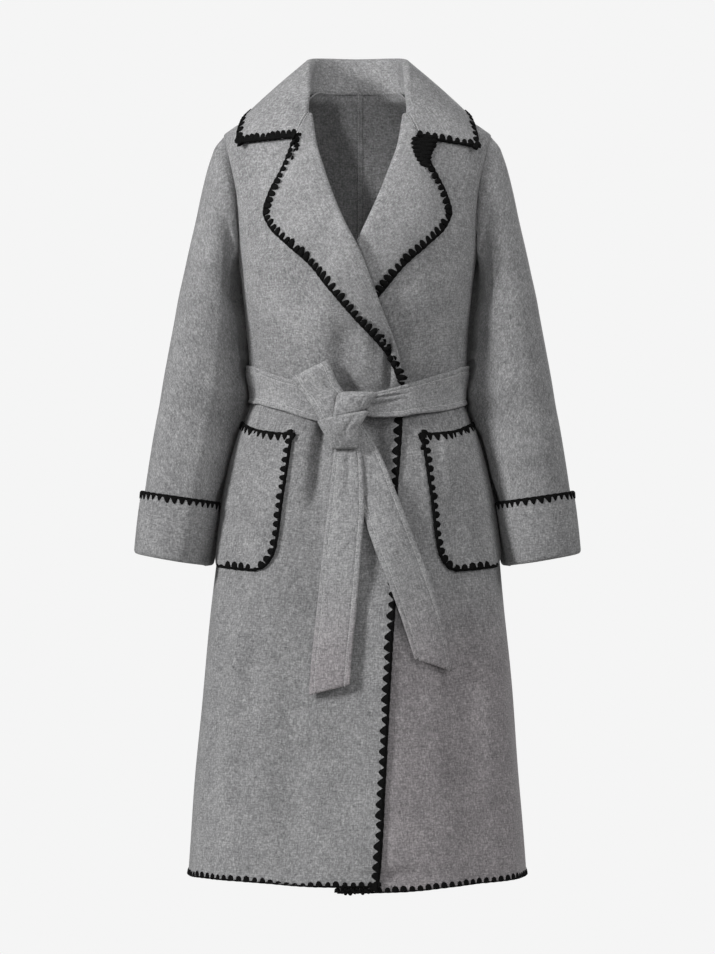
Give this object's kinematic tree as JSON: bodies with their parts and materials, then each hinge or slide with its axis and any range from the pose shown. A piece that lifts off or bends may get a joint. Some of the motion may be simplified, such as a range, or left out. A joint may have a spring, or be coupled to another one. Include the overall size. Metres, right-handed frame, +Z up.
{
  "type": "belted wool wrap coat",
  "caption": "Long belted wrap coat in heathered grey wool, filled out as worn, with wide notched collar, turned-back cuffs, patch pockets and blanket-stitched edges.",
  "frame": {"origin": "middle of the neck, at the height of the neck seam, where the wearer's neck and shoulders hold the coat", "axes": "+Z up, the front faces -Y, +X towards the wearer's left"},
  "size_m": [0.6516, 0.3364, 1.2142],
  "materials": {
    "coating": "heathered mid grey wool coating, milled, soft nap",
    "belt_coating": "the same coating, doubled and topstitched",
    "yarn": "thick near-black wool yarn, blanket stitch",
    "thread": "grey sewing thread, topstitch"
  },
  "bodies": {
    "root": {"front_right": "coating", "front_left": "coating", "back_right": "coating", "back_left": "coating", "sleeve_right": "coating", "sleeve_left": "coating", "cuff_right": "coating", "cuff_left": "coating", "collar": "coating", "pocket_right": "coating", "pocket_left": "coating", "belt_waist": "belt_coating", "belt_loop": "belt_coating", "belt_knot_over": "belt_coating", "belt_knot_wrap": "belt_coating", "belt_tail_left": "belt_coating", "belt_tail_right": "belt_coating"}
  },
  "joints": []
}
